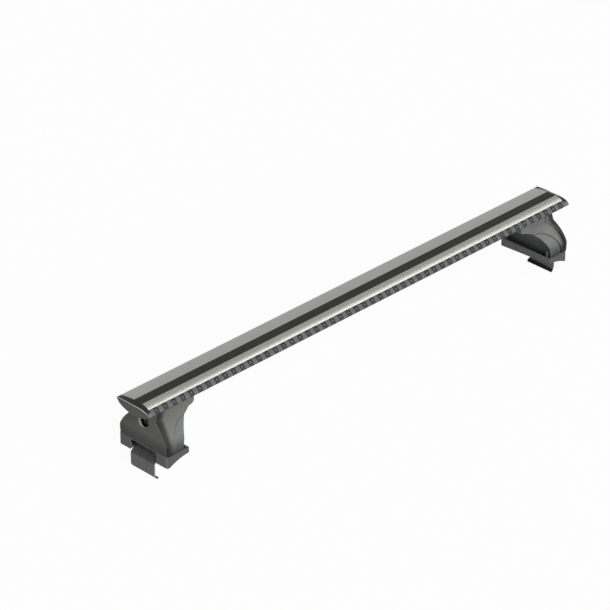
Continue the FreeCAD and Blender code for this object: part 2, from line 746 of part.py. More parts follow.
def make_cover():
    """Outer cover: face plate and column in one shell, with an arched edge, a key hole and a saddle."""
    low = size["tray_top"]
    tongue_low = size["tongue_low"]
    wide = size["foot_width"] * 1.5
    wall = size["cover_wall"]
    blank = fuse("cover_blank", make_face_plate(), make_column())
    inner_side = prism("cover_inner_side", "side", [
        (size["tray_start"] + wall, low - overcut), (far_inboard, low - overcut), (far_inboard, tongue_low),
        (face_x(tongue_low) + wall, tongue_low, size["face_radius"]), (size["tray_start"] + wall, low),
    ], wide, both_ways=True)
    inner_bell = bell("cover_inner_bell", wall, low - overcut, size["neck_top"], 0, far_inboard)
    hollow = common("cover_hollow", inner_bell, inner_side)
    arch = rod("cover_arch", "y", (size["arch_x"], 0, size["arch_z"]), size["arch_radius"], wide)
    height = size["access_height"]
    hole = rod("access_hole", "x", (0, 0, height), size["access_radius"], size["body_start"], False)
    rim = size["access_rim"]
    funnel = doc.addObject("Part::Cone", "access_funnel")
    funnel.Placement = FreeCAD.Placement(FreeCAD.Vector(), FreeCAD.Rotation(FreeCAD.Vector(0, 1, 0), 90))
    bind(funnel, "Radius1", size["access_radius"] + rim * 2)
    bind(funnel, "Radius2", size["access_radius"])
    bind(funnel, "Height", rim * 2)
    place(funnel, face_x(height) - rim, 0, height)
    groove = belly_groove("cover_groove", size["run_gap"], 0, far_inboard)
    bolts = [rod(f"cover_bolt_hole_{number}", "z", (bolt_place(number), slot_y, tongue_low - overcut),
                 size["bolt_radius"] + size["fit_gap"], size["bar_height"] * 2, False) for number in (0, 1)]
    cover = cut("cover", blank, hollow, arch, hole, funnel, groove, *bolts)
    place(cover, x=foot_origin)
    return node("foot_cover_left", cover)


def bolt_place(number):
    """Bar end to one of the two bolts."""
    return size["bolt_x"] + size["bolt_spacing"] * (number - 0.5)


def make_body():
    """Inner body: two side walls with a curved inboard edge, a top shelf, a screw web and a set-in panel."""
    inset = size["cover_wall"] + size["body_step"]
    low = size["ledge_height"]
    high = size["tongue_low"]
    shelf_low = high - size["body_shelf"]
    start = size["body_start"]
    foot_reach = size["body_foot_reach"]
    edge = [
        (start, low), (foot_reach, low), (foot_reach, size["tray_top"], -size["body_edge_radius"]),
        (size["body_head_reach"], high), (start, high),
    ]
    outer = common("body_outer", bell("body_bell", inset, low, size["neck_top"], 0, far_inboard),
                   prism("body_side", "side", edge, size["foot_width"], both_ways=True))
    inner_low = low - overcut
    web_end = start + size["screw_web"]
    panel = size["panel_x"]
    panel_wall = size["panel_wall"]
    panel_end = panel + panel_wall
    sides = {
        "chamber": [
            (0, inner_low), (panel, inner_low), (panel, shelf_low),
            (web_end, shelf_low), (web_end, size["screw_web_low"]), (0, size["screw_web_low"]),
        ],
        "recess": [
            (panel - panel_wall, inner_low), (far_inboard, inner_low), (far_inboard, shelf_low),
            (panel_end, shelf_low), (panel_end, size["panel_low"]), (panel - panel_wall, size["panel_low"]),
        ],
    }
    hollows = []
    hollow_inset = inset + size["body_wall"]
    for name, side in sides.items():
        hollow_bell = bell(f"{name}_bell", hollow_inset, inner_low, size["neck_top"], 0, far_inboard)
        hollow_side = prism(f"{name}_side", "side", side, size["foot_width"], both_ways=True)
        hollows.append(common(f"body_{name}", hollow_bell, hollow_side))
    pin_hole = rod("body_pin_hole", "y", (size["pin_x"], 0, size["pin_height"]), size["pin_radius"],
                   size["foot_width"])
    rim_place = foot_half_width - inset - size["pin_recess"]
    rims = [pin_rim(f"pin_rim_{number}", place_of)
            for number, place_of in enumerate((rim_place, -rim_place - inset * 2))]
    screw_hole = rod("body_screw_hole", "x", (0, 0, size["screw_height"]),
                     size["screw_radius"] + size["run_gap"], start * 2, False)
    bolts = [rod(f"body_bolt_hole_{number}", "z", (bolt_place(number), slot_y, shelf_low - overcut),
                 size["bolt_radius"] + size["fit_gap"], size["bar_height"], False) for number in (0, 1)]
    body = cut("inner_body", outer, *hollows, pin_hole, *rims, screw_hole, *bolts)
    place(body, x=foot_origin)
    return node("foot_body_left", body)


def pin_rim(name, place_of):
    """Shallow round recess about the pin's end in one side wall, from place_of outwards."""
    length = (size["cover_wall"] + size["body_step"]) * 2
    radius = size["pin_radius"] + size["pin_rim"]
    return rod(name, "y", (size["pin_x"], place_of, size["pin_height"]), radius, length, both_ways=False)


def arch_loft(name, lift):
    """Everything under the tray's curved underside, raised by lift; its round changes from front to rear."""
    sections = []
    near = size["tray_start"] + size["arch_start"]
    end = size["tray_start"] + size["tray_length"]
    half = size["foot_width"] / 2 + size["tray_rim_step"]
    for side, low, radius in ((-1, size["tray_low_front"], size["arch_front_radius"]),
                              (1, size["tray_low_rear"], size["arch_rear_radius"])):
        outline = [
            (0, 0), (end + overcut, 0), (end + overcut, low + lift), (end, low + lift, radius),
            (near, size["tray_outer_low"] + lift), (0, size["tray_outer_low"] + lift),
        ]
        sections.append(draw(free_sketch(f"{name}_section_{len(sections)}", "side", half * side), outline))
    loft = doc.addObject("Part::Loft", name)
    loft.Sections = sections
    loft.Solid = True
    loft.Ruled = True
    return loft


def tray_edge_radius(edge):
    """Round of the tray's upright edges, the largest at the front of its outer side."""
    middle = edge.BoundBox.Center
    if edge.BoundBox.ZLength < 1:
        return None
    outer_front = middle.y < 0 and middle.x < size["tray_start"].number + 1
    return size["tray_corner"] if outer_front else size["tray_small_corner"]


def make_tray():
    """Base tray: rimmed, with a ledge for the body, an arched underside and a notch for the bracket."""
    half = size["foot_width"] / 2
    start = size["tray_start"]
    end = start + size["tray_length"]
    wall = size["tray_wall"]
    blank = box("tray_blank", (start, -half, size["tray_outer_low"]), (end, half, size["tray_top"]))
    rounded = round_edges("tray_rounded", blank, tray_edge_radius)
    upper = box("tray_upper", (start + wall, -half + wall, size["ledge_height"]),
                (end - wall, half - wall, size["tray_top"] + overcut))
    ledge = wall + size["ledge_width"]
    lower = box("tray_lower", (start + wall, -half + ledge, 0), (end - wall, half - ledge, size["tray_top"]))
    well = cut("tray_well", lower, arch_loft("tray_floor_loft", size["tray_floor"]))
    notch_half = size["bracket_width"] / 2 + size["notch_margin"]
    notch = box("tray_notch", (0, size["bracket_y"] - notch_half, 0),
                (size["notch_reach"], size["bracket_y"] + notch_half, size["notch_top"]))
    tray = cut("tray", rounded, arch_loft("tray_under_loft", 0), upper, well, notch)
    place(tray, x=foot_origin)
    return node("base_tray_left", tray)


def sheet_side(points, shift, bend):
    """Right-hand side of a bent sheet: its middle line, which bends at radius bend, moved by shift."""
    ways = []
    for (start_x, start_z), (end_x, end_z) in zip(points, points[1:]):
        run = value(end_x) - start_x
        rise = value(end_z) - start_z
        length = root(run * run + rise * rise)
        ways.append((run / length, rise / length))
    corners = []
    for index, (x, z) in enumerate(points):
        arriving = ways[max(index - 1, 0)]
        leaving = ways[min(index, len(ways) - 1)]
        cross = arriving[0] * leaving[1] - arriving[1] * leaving[0]
        turn = math.copysign(1, cross.number)
        tangent = cross * turn / (1 + arriving[0] * leaving[0] + arriving[1] * leaving[1]) * bend
        if 0 < index < len(points) - 1:
            corners.append((x - arriving[0] * tangent + arriving[1] * shift,
                            z - arriving[1] * tangent - arriving[0] * shift, bend * turn + shift))
        else:
            tangent = value(0)
        corners.append((x + leaving[0] * tangent + leaving[1] * shift,
                        z + leaving[1] * tangent - leaving[0] * shift))
    return corners


lip_rise = size["lip_run"] + (size["sheet"] / 2 + size["pad_wall"] * 2) / math.sqrt(2)


def bracket_path():
    """Middle line of the bracket's sheet: lip, upright plate, sloped limb and upright tab."""
    plate = size["plate_x"]
    limb = size["tab_x"] - plate
    return [
        (plate + size["lip_run"], lip_rise - size["lip_run"]), (plate, lip_rise), (plate, size["bend_rise"]),
        (size["tab_x"], size["bend_rise"] + limb), (size["tab_x"], size["tab_top"]),
    ]


def make_bracket():
    """Clamp bracket: one bent sheet with two ears on the pin, a slotted tab and a hook lip."""
    path = bracket_path()
    shift = size["sheet"] / 2
    bend = size["bend_round"] + shift
    outline = sheet_side(path, shift, bend) + sheet_side(path[::-1], shift, bend)
    low_y = size["bracket_y"] - size["bracket_width"] / 2
    high_y = size["bracket_y"] + size["bracket_width"] / 2
    bent = prism("bracket_sheet", "side", outline, size["bracket_width"], size["bracket_y"], both_ways=True)
    tab_half = size["tab_width"] / 2
    shoulder_z = size["pin_height"] + size["ear_radius"] + size["tab_shoulder"]
    above = size["tab_top"] + overcut
    trim_low = box("tab_trim_front", (0, low_y - overcut, shoulder_z), (size["pin_x"], -tab_half, above))
    trim_high = box("tab_trim_rear", (0, tab_half, shoulder_z), (size["pin_x"], high_y + overcut, above))
    slot_half = size["screw_radius"] + size["run_gap"] * 2
    slot_low = size["screw_height"] - size["slot_height"] / 2
    slot = box("tab_slot", (size["tab_x"] - overcut, -slot_half, slot_low),
               (size["tab_x"] + overcut, slot_half, above))
    bent = cut("bracket_bent", bent, trim_low, trim_high, slot)
    corner_z = size["bend_rise"] + size["tab_x"] - size["plate_x"]
    ears = []
    web_end = size["pin_x"] + size["ear_radius"] * 0.6
    web_half = size["ear_radius"] * 0.8
    for index, near in enumerate((low_y, high_y - size["sheet"])):
        web = prism(f"ear_web_{index}", "side", [
            (size["tab_x"], corner_z), (web_end, size["pin_height"] - web_half),
            (web_end, size["pin_height"] + web_half), (size["tab_x"], shoulder_z),
        ], size["sheet"], near)
        eye = rod(f"ear_eye_{index}", "y", (size["pin_x"], near, size["pin_height"]), size["ear_radius"],
                  size["sheet"], both_ways=False)
        ears += [web, eye]
    solid = fuse("bracket_solid", bent, *ears)
    bore = rod("ear_bore", "y", (size["pin_x"], 0, size["pin_height"]), size["pin_radius"] + size["pin_gap"],
               size["foot_width"])
    grooves = []
    limb_turn = FreeCAD.Rotation(FreeCAD.Vector(0, 1, 0), -45)
    face = size["plate_x"] - shift
    for index in (-1, 1):
        middle = size["bracket_y"] + size["bracket_width"] * index / 6
        half = size["groove_width"] / 2
        low = (face - overcut, middle - half, lip_rise - size["bend_round"])
        high = (face + size["groove_depth"], middle + half, size["bend_rise"] + size["run_gap"])
        grooves.append(box(f"groove_plate_{index + 1}", low, high))
        limb_groove = doc.addObject("Part::Box", f"groove_limb_{index + 1}")
        limb_groove.Placement = FreeCAD.Placement(FreeCAD.Vector(), limb_turn)
        bind(limb_groove, "Length", (size["tab_x"] - size["plate_x"]) * 1.2)
        bind(limb_groove, "Width", size["groove_width"])
        bind(limb_groove, "Height", overcut)
        lift = (shift - size["groove_depth"]) * math.sqrt(2)
        place(limb_groove, size["plate_x"], middle - half, size["bend_rise"] + lift)
        grooves.append(limb_groove)
    bracket = cut("bracket", solid, bore, *grooves)
    place(bracket, x=foot_origin)
    return node("clamp_bracket_left", bracket)


def make_hook_pad():
    """Rubber sleeve round the lip, cut where the plate begins."""
    path = bracket_path()[:2]
    reach = size["sheet"] / 2 + size["pad_wall"]
    start = size["sheet"]
    (tip_x, tip_z), (bend_x, bend_z) = path
    slant = 1 / math.sqrt(2)
    near = (bend_x + start, bend_z - start)
    far = (tip_x + size["pad_wall"] * slant, tip_z - size["pad_wall"] * slant)
    side = reach * slant
    core_side = size["sheet"] / 2 * slant
    outer = prism("pad_outer", "side", [
        (near[0] - side, near[1] - side), (far[0] - side, far[1] - side),
        (far[0] + side, far[1] + side), (near[0] + side, near[1] + side),
    ], size["bracket_width"] + size["pad_wall"] * 2, size["bracket_y"], both_ways=True)
    core = prism("pad_core", "side", [
        (bend_x - core_side, bend_z - core_side), (tip_x - core_side, tip_z - core_side),
        (tip_x + core_side, tip_z + core_side), (bend_x + core_side, bend_z + core_side),
    ], size["bracket_width"], size["bracket_y"], both_ways=True)
    pad = cut("pad", outer, core)
    place(pad, x=foot_origin)
    return node("hook_pad_left", pad)


def make_pivot_pin():
    """Cross pin that the bracket rocks on, ending just inside the body's walls."""
    inset = size["cover_wall"] + size["body_step"]
    length = (foot_half_width - inset - size["pin_short"]) * 2
    pin = rod("pin", "y", (size["pin_x"], 0, size["pin_height"]), size["pin_radius"], length)
    bind(pin, ".Placement.Base.x", size["pin_x"] + foot_origin)
    return node("pivot_pin_left", pin)


def make_clamp_screw():
    """Socket screw: a head with a hexagon recess on a plain shank."""
    head_end = size["body_start"] - size["washer_thickness"] - size["run_gap"]
    head_start = head_end - size["head_height"]
    height = size["screw_height"]
    head = rod("screw_head", "x", (head_start, 0, height), size["head_radius"], size["head_height"], False)
    shank = rod("screw_shank", "x", (head_end - size["run_gap"], 0, height), size["screw_radius"],
                size["screw_length"] + size["run_gap"], False)
    socket = doc.addObject("Part::Prism", "screw_socket")
    socket.Polygon = 6
    socket.Placement = FreeCAD.Placement(FreeCAD.Vector(), FreeCAD.Rotation(FreeCAD.Vector(0, 1, 0), 90))
    bind(socket, "Circumradius", size["socket_size"] / math.sqrt(3))
    bind(socket, "Height", size["socket_depth"] + overcut)
    place(socket, head_start - overcut, 0, height)
    screw = cut("screw", fuse("screw_blank", head, shank), socket)
    place(screw, x=foot_origin)
    return node("clamp_screw_left", screw)


def make_screw_washer():
    """Flat washer between the head and the body's web."""
    start = size["body_start"] - size["washer_thickness"]
    disc = rod("washer_disc", "x", (start, 0, size["screw_height"]), size["washer_radius"],
               size["washer_thickness"], False)
    hole = rod("washer_hole", "x", (0, 0, size["screw_height"]), size["screw_radius"] + size["run_gap"],
               size["body_start"] * 2, False)
    washer = cut("washer", disc, hole)
    place(washer, x=foot_origin)
    return node("screw_washer_left", washer)


def make_barrel_nut():
    """Barrel nut across the foot, inboard of the bracket's tab."""
    x = size["tab_x"] + size["sheet"] / 2 + size["run_gap"] + size["nut_radius"]
    barrel = rod("nut_barrel", "y", (x, 0, size["screw_height"]), size["nut_radius"], size["nut_length"])
    bore = size["screw_radius"] + size["thread_gap"]
    hole = rod("nut_hole", "x", (0, 0, size["screw_height"]), bore, x * 2, False)
    nut = cut("nut", barrel, hole)
    place(nut, x=foot_origin)
    return node("barrel_nut_left", nut)


def make_tray_studs():
    """Two upright posts on the ledge beside the tray's inner wall."""
    posts = []
    spread = size["foot_width"] / 2 - size["stud_inset"]
    for index in (-1, 1):
        low = size["ledge_height"]
        posts.append(rod(f"post_{index + 1}", "z", (size["stud_x"], spread * index, low),
                         size["stud_radius"], size["stud_top"] - low, False))
    studs = group("studs", *posts)
    place(studs, x=foot_origin)
    return node("tray_studs_left", studs)


def make_slot_plate():
    """T-plate in the lower slot with a tapped hole for each bolt."""
    floor = bar_top - size["bar_height"] + size["low_lip"] + size["run_gap"]
    half = size["plate_width"] / 2
    half_length = size["plate_length"] / 2
    plate = box("plate_blank", (size["bolt_x"] - half_length, slot_y - half, floor),
                (size["bolt_x"] + half_length, slot_y + half, floor + size["plate_thickness"]))
    holes = [rod(f"plate_hole_{number}", "z", (bolt_place(number), slot_y, 0), size["bolt_radius"], bar_top,
                 False) for number in (0, 1)]
    plate = cut("slot_plate", plate, *holes)
    place(plate, x=foot_origin)
    return node("slot_plate_left", plate)


def make_bar_bolts():
    """Two bolts from under the body's shelf up into the T-plate."""
    shelf_low = size["tongue_low"] - size["body_shelf"]
    top = bar_top - size["bar_height"] + size["low_lip"] + size["run_gap"] + size["plate_thickness"]
    bolts = []
    head_low = shelf_low - size["bolt_head_height"]
    sunk = size["bolt_head_height"] / 4
    for number in (0, 1):
        x = bolt_place(number)
        head = rod(f"bolt_head_{number}", "z", (x, slot_y, head_low), size["bolt_head_radius"],
                   size["bolt_head_height"], False)
        shank = rod(f"bolt_shank_{number}", "z", (x, slot_y, shelf_low - sunk), size["bolt_radius"],
                    top - shelf_low + sunk, False)
        bolts.append(fuse(f"bolt_{number}", head, shank))
    both = group("bar_bolts", *bolts)
    place(both, x=foot_origin)
    return node("bar_bolts_left", both)


def mirror(item):
    """The same piece at the other end of the bar."""
    label = item.Label.replace("_left", "_right")
    other = doc.addObject("Part::Mirroring", label + "_mirror")
    other.Source = item
    other.Normal = FreeCAD.Vector(1, 0, 0)
    return node(label, other)


make_bar()
make_slot_strip()
make_nose_strip()
for make in (make_cap, make_cover, make_body, make_tray, make_tray_studs, make_pivot_pin,
             make_slot_plate, make_bar_bolts, make_bracket, make_hook_pad, make_clamp_screw,
             make_screw_washer, make_barrel_nut):
    mirror(make())
doc.recompute()

faults = [item.Name for item in doc.Objects if {"Invalid", "Error"} & set(item.State)]
for item in nodes:
    if item.Shape.isNull() or not item.Shape.isValid() or not item.Shape.Solids:
        faults.append(item.Label)
if faults:
    raise RuntimeError("not built: " + ", ".join(faults))

os.makedirs("parts", exist_ok=True)
for item in nodes:
    item.Shape.exportStep(f"parts/{item.Label}.step")
    print(item.Label, len(item.Shape.Solids), round(item.Shape.Volume), item.Shape.BoundBox)
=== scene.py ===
import math

import bmesh
import bpy
import numpy as np
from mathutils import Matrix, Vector
from mathutils.geometry import tessellate_polygon


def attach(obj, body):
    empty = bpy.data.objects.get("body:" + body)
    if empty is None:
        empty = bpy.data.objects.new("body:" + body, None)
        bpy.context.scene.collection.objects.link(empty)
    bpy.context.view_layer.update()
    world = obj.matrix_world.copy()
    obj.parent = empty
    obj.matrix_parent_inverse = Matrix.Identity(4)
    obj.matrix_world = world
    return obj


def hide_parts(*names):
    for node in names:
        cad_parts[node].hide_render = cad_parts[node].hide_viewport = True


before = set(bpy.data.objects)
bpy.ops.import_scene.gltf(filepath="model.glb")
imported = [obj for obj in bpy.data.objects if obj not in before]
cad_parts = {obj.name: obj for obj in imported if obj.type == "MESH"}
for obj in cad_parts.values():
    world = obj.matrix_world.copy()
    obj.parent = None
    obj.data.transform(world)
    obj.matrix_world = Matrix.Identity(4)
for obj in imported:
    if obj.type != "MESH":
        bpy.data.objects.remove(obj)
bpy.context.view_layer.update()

bl_info = {
    "name": "Roof rack crossbar",
    "version": (1, 0, 0),
    "blender": (4, 5, 0),
    "location": "3D View > Sidebar > Crossbar",
    "description": "Dresses the crossbar's packed parts with their surfaces and finishes",
    "category": "Object",
}

MM = 0.001
SIDES = ("left", "right")

# Middle of the top slot across the bar, and the height of the bar's top surface
SLOT_MIDDLE = -5 * MM
BAR_TOP = 157.4 * MM

# Upper edge and foremost point of the leading edge strip, across the bar and up
NOSE_UPPER = np.array((-32.1, 152.2)) * MM
NOSE_TIP = np.array((-42.0, 144.3)) * MM

# Two rounds of the cover, by middle (along the bar and up) and radius: its swollen outer face and arched edge
FACE_ROUND = (376.8 * MM, 78.2 * MM)
FACE_RADIUS = 150 * MM
COVER_ARCH = (462 * MM, 60 * MM)
COVER_ARCH_RADIUS = 49.7 * MM

# Height of the key hole's axis, and how far the round that bounds the painted highlight on its lower rim
# lies above that
KEY_HOLE_HEIGHT = 107.5 * MM
CRESCENT_RISE = 2.6 * MM

# Bend between the upright plate and the slanting limb of the clamp brackets
BRACKET_BEND = 33 * MM

# Panel that closes the recess of the foot's body: its two faces along the bar, its lower edge and half its
# width
PANEL_ALONG = np.array((484.6, 487)) * MM
PANEL_LOW = 66 * MM
PANEL_HALF_WIDTH = 53.5 * MM

# Height of the tray's floor at the front and the rear of that panel
FLOOR_FRONT = 51 * MM
FLOOR_REAR = 44.5 * MM

# Painted shade and light: pairs of a measure in millimetres and the share of the base colour there, with
# straight ramps between. The hollow, the seam, the shells, the flanks and the limb get painted shade, the
# crescent on the key hole's rim a painted highlight, and the hole's clearing keeps the hollow's shade off
# that. The hollow and the seam are measured outwards from their rounds, and the limb upwards from the bend.
# The hole's three are distances from their axes, the shells' are heights, and the flanks' are distances from
# the bar's middle plane.
HOLLOW_PAINTED_SHADE = ((-18, 1), (-10, 0.25), (-3, 0.12), (-0.4, 0.12), (-0.2, 1))
HOLE_CLEARED = ((15, 1), (16, 0))
CRESCENT_PAINTED_RIM = ((12.9, 1), (13.2, 0))
CRESCENT_PAINTED_INNER = ((11.2, 0), (12.4, 1))
SEAM_PAINTED_SHADE = ((-1, 0.4), (0.5, 0.4), (1, 1))
SHELLS_PAINTED_SHADE = ((60, 0.35), (76, 0.62), (88, 1), (112, 1), (124, 0.82))
FLANKS_PAINTED_SHADE = ((59, 1), (61, 0.48))
LIMB_PAINTED_SHADE = ((-1, 1), (1, 0.4))

# Share of its colour that the crescent's painted highlight gains
CRESCENT_PAINTED_GAIN = 1.4

# Every material: size of the broad noise, the stretch of it that the tint follows, and the share that its
# roughness varies by
BROAD_GRAIN = 30 * MM
BROAD_STRETCH = (0.3, 0.7)
GLOSS_SPREAD = 0.1

# Softened copies: corners nearer than this are made one, so are faces that turn by less than this in degrees,
# and edges sharper than this in degrees are rounded, in this many steps
MERGE_REACH = 0.002 * MM
FLAT_ANGLE = 0.4
CREASE_ANGLE = 30
EDGE_SEGMENTS = 2

# Sharpest angle in degrees that still shades smoothly on the bar's section
SECTION_ANGLE = 25

# Upward part of the normals, at the least, on an end cap's rim, which gets a painted highlight, and on its
# crown, which gets painted shade
RIM_UP = 0.4
CROWN_UP = 0.82

# Camera, fitted to the photo's own edges: its place, its turn in degrees and its focal length in millimetres
CAMERA_PLACE = (-4.0386, -3.9099, 3.3791)
CAMERA_TURN = (59.957, 0, -45.0245)
CAMERA_LENS = 208.9
CAMERA_REACH = 50

# Distant lamps: where their light comes from, their strength and their width in degrees
LAMPS = {"key": ((-0.08, -0.86, 0.5), 5.4, 40), "rim": ((0.616, -0.02, 0.788), 0.2, 12)}

# Floor's half width, the white in it that the camera sees, and the sky's light at the horizon and overhead
FLOOR_REACH = 12
FLOOR_WHITE = 0.96
SKY_LIGHT = (0.39, 0.08)


def linear(hex_colour):
    """Linear red, green and blue of an sRGB hex colour.

    A share up to 0.04045 is divided by 12.92. Above that, 0.055 is added, the sum is divided by 1.055, and
    the result is raised to the power 2.4.
    """
    shares = [int(hex_colour[place:place + 2], 16) / 255 for place in (1, 3, 5)]
    return tuple(share / 12.92 if share <= 0.04045 else ((share + 0.055) / 1.055) ** 2.4
                 for share in shares)


def colour(name, description, hex_colour):
    """Colour property that starts at a hex value."""
    return bpy.props.FloatVectorProperty(name=name, description=description, subtype="COLOR", size=3,
                                         min=0, max=1, default=linear(hex_colour))


def length(name, description, millimetres):
    """Length property that starts at a number of millimetres."""
    return bpy.props.FloatProperty(name=name, description=description, unit="LENGTH", precision=5,
                                   default=millimetres * MM)


class CrossbarSizes(bpy.types.PropertyGroup):
    """Sizes that a user would change."""
    moulded_edge: length("Moulded edge", "Round on the edges of the moulded pieces", 0.7)
    metal_edge: length("Metal edge", "Round on the edges of the metal pieces", 0.35)
    nose_radius: length("Nose radius", "Upper round of the strip along the leading edge", 13.5)
    notch_start: length("Notch start", "Depth under that round at which a face belongs to a notch", 0.3)
    notch_end: length("Notch end", "Depth at which it belongs to the strip's back", 2)
    cap_edge: length("Cap edge", "Width of the slanting rim round a cap's outer face", 0.8)


class CrossbarColours(bpy.types.PropertyGroup):
    """Colours that a user would change."""
    aluminium: colour("Aluminium", "Anodised extrusion", "#91918C")
    strip: colour("Slot strip", "Rubber strip in the top slot", "#292926")
    nose: colour("Leading edge", "Strip along the leading edge", "#4D4F4F")
    # Painted shade: the notches' darker tint stands in for the shade in those recesses
    notch: colour("Notches", "Recesses of that strip", "#2F3030")
    cap: colour("End cap", "Outer faces of the end caps", "#555552")
    # Painted shade: the crowns' darker tint stands in for the shade on the caps' upward faces
    crown: colour("Cap crown", "Polished tops of the end caps", "#1E1E1D")
    cover: colour("Foot cover", "Outer shell of the feet", "#595957")
    body: colour("Foot body", "Inner shell of the feet", "#595B5B")
    # Painted highlight: the rims' light tint stands in for the light that they catch
    rim: colour("Cap rim", "Polished rims round the caps' outer faces", "#B4B4B0")
    tray: colour("Base tray", "Trays that stand on the roof", "#5A5B5B")
    bracket: colour("Bracket", "Powder on the clamp brackets", "#606060")
    pad: colour("Hook pad", "Rubber on the hook lips", "#1C1C1C")
    steel: colour("Steel", "Black zinc on screws, nuts and plates", "#3C3D3D")
    floor: colour("Floor", "Studio floor", "#CCCCCC")


def empty_tree(owner):
    """Node tree of a new material or world, without the nodes that it starts with."""
    owner.use_nodes = True
    owner.node_tree.nodes.clear()
    return owner.node_tree


def add(tree, kind, values=(), links=(), **settings):
    """Add one node to a tree, with its settings, its input values and the sockets that feed its inputs."""
    made = tree.nodes.new(kind)
    for name, setting in settings.items():
        setattr(made, name, setting)
    for name, amount in dict(values).items():
        made.inputs[name].default_value = amount
    for name, socket in dict(links).items():
        tree.links.new(socket, made.inputs[name])
    return made


def combined(tree, one, two, operation):
    """Two colours combined part by part, by an operation such as MULTIPLY or MAXIMUM."""
    return add(tree, "ShaderNodeVectorMath", {}, {0: one, 1: two}, operation=operation).outputs[0]


def coordinate(tree, place, axis):
    """One coordinate of a place, by the name of its axis."""
    return add(tree, "ShaderNodeSeparateXYZ", {}, {"Vector": place}).outputs[axis]


def unsigned(tree, amount):
    """An amount without its sign."""
    return add(tree, "ShaderNodeMath", {}, {0: amount}, operation="ABSOLUTE").outputs[0]


def distance(tree, parts, centre):
    """Distance from a centre to the place whose coordinates come from the sockets in parts, by axis."""
    flat = add(tree, "ShaderNodeCombineXYZ", {}, parts).outputs[0]
    reach = add(tree, "ShaderNodeVectorMath", {1: centre}, {0: flat}, operation="DISTANCE")
    return reach.outputs["Value"]


def surface(name, tint, *, spread, grain, relief, roughness, stretch=1, metallic=0.0, specular=0.5,
            shades=()):
    """Finish of one material.

    Two noises on Object coordinates. A broad one varies the base colour by the share spread. A fine one of
    the size grain, drawn out along X by stretch, lifts the surface by relief and stirs the roughness. Each of
    the shades adds the nodes of a share that the base colour is multiplied by: painted shade where it is
    below one, and a painted highlight where it is above.
    """
    material = bpy.data.materials.new(name)
    tree = empty_tree(material)
    place = add(tree, "ShaderNodeTexCoord").outputs["Object"]
    broad = add(tree, "ShaderNodeTexNoise", {"Scale": 1 / BROAD_GRAIN, "Detail": 3.0}, {"Vector": place})
    drawn = add(tree, "ShaderNodeMapping", {"Scale": (1 / stretch, 1, 1)}, {"Vector": place})
    fine = add(tree, "ShaderNodeTexNoise", {"Scale": 1 / grain, "Detail": 2.0, "Roughness": 0.6},
               {"Vector": drawn.outputs["Vector"]})
    tints = add(tree, "ShaderNodeValToRGB", {}, {"Fac": broad.outputs["Fac"]})
    ends = tints.color_ramp.elements
    for end, position, share in zip(ends, BROAD_STRETCH, (1 - spread, 1 + spread)):
        end.color = tuple(min(part * share, 1) for part in tint) + (1,)
        end.position = position
    gloss = add(tree, "ShaderNodeMapRange",
                {"To Min": roughness * (1 - GLOSS_SPREAD), "To Max": roughness * (1 + GLOSS_SPREAD)},
                {"Value": fine.outputs["Fac"]})
    bump = add(tree, "ShaderNodeBump", {"Strength": 1.0, "Distance": relief},
               {"Height": fine.outputs["Fac"]})
    base = tints.outputs["Color"]
    for shade in shades:
        base = combined(tree, base, shade(tree, place), "MULTIPLY")
    shader = add(tree, "ShaderNodeBsdfPrincipled", {"Metallic": metallic, "Specular IOR Level": specular},
                 {"Base Color": base, "Roughness": gloss.outputs["Result"],
                  "Normal": bump.outputs["Normal"]})
    add(tree, "ShaderNodeOutputMaterial", {}, {"Surface": shader.outputs["BSDF"]})
    return material


def ramp_share(tree, amount, stops, start=0):
    """Share that follows an amount, with straight ramps between the stops.

    Each stop is how many millimetres the amount is past start, and the share there.
    """
    places = [start + past * MM for past, _ in stops]
    low, high = places[0], places[-1]
    part = add(tree, "ShaderNodeMapRange", {"From Min": low, "From Max": high}, {"Value": amount})
    ramp = add(tree, "ShaderNodeValToRGB", {}, {"Fac": part.outputs["Result"]})
    points = ramp.color_ramp.elements
    for place in places[1:-1]:
        points.new((place - low) / (high - low))
    for point, (_, level) in zip(points, stops):
        point.color = (level, level, level, 1)
    return ramp.outputs["Color"]


def ring_share(tree, place, axis, stops, start):
    """Share that depends on the distance from an axis across the bar, by stops measured from start.

    The axis is given as its distance from the bar's middle and its height, and serves both feet, since the
    distance along the bar is taken without its sign.
    """
    along, height = axis
    away = unsigned(tree, coordinate(tree, place, "X"))
    reach = distance(tree, {"X": away, "Z": coordinate(tree, place, "Z")}, (along, 0, height))
    return ramp_share(tree, reach, stops, start)


def hole_share(tree, place, height, stops):
    """Share that depends on the distance from an axis along the bar, in its middle plane at a height."""
    parts = {axis: coordinate(tree, place, axis) for axis in ("Y", "Z")}
    return ramp_share(tree, distance(tree, parts, (0, 0, height)), stops)


def painted_hollow_shade(tree, place):
    """Painted shade on the cover's side, a band that deepens towards its outer face, clear of the key hole.
    """
    band = ring_share(tree, place, FACE_ROUND, HOLLOW_PAINTED_SHADE, FACE_RADIUS)
    hole = hole_share(tree, place, KEY_HOLE_HEIGHT, HOLE_CLEARED)
    return combined(tree, band, hole, "MAXIMUM")


def painted_crescent_highlight(tree, place):
    """Painted highlight on the key hole's lower rim: inside the rim and outside a round that lies higher.

    The share is one plus the gain times both.
    """
    rim = hole_share(tree, place, KEY_HOLE_HEIGHT, CRESCENT_PAINTED_RIM)
    lower = hole_share(tree, place, KEY_HOLE_HEIGHT + CRESCENT_RISE, CRESCENT_PAINTED_INNER)
    both = combined(tree, rim, lower, "MULTIPLY")
    return add(tree, "ShaderNodeVectorMath", {1: (CRESCENT_PAINTED_GAIN,) * 3, 2: (1, 1, 1)}, {0: both},
               operation="MULTIPLY_ADD").outputs[0]


def painted_seam_shade(tree, place):
    """Painted shade line along the seam at the cover's arched edge."""
    return ring_share(tree, place, COVER_ARCH, SEAM_PAINTED_SHADE, COVER_ARCH_RADIUS)


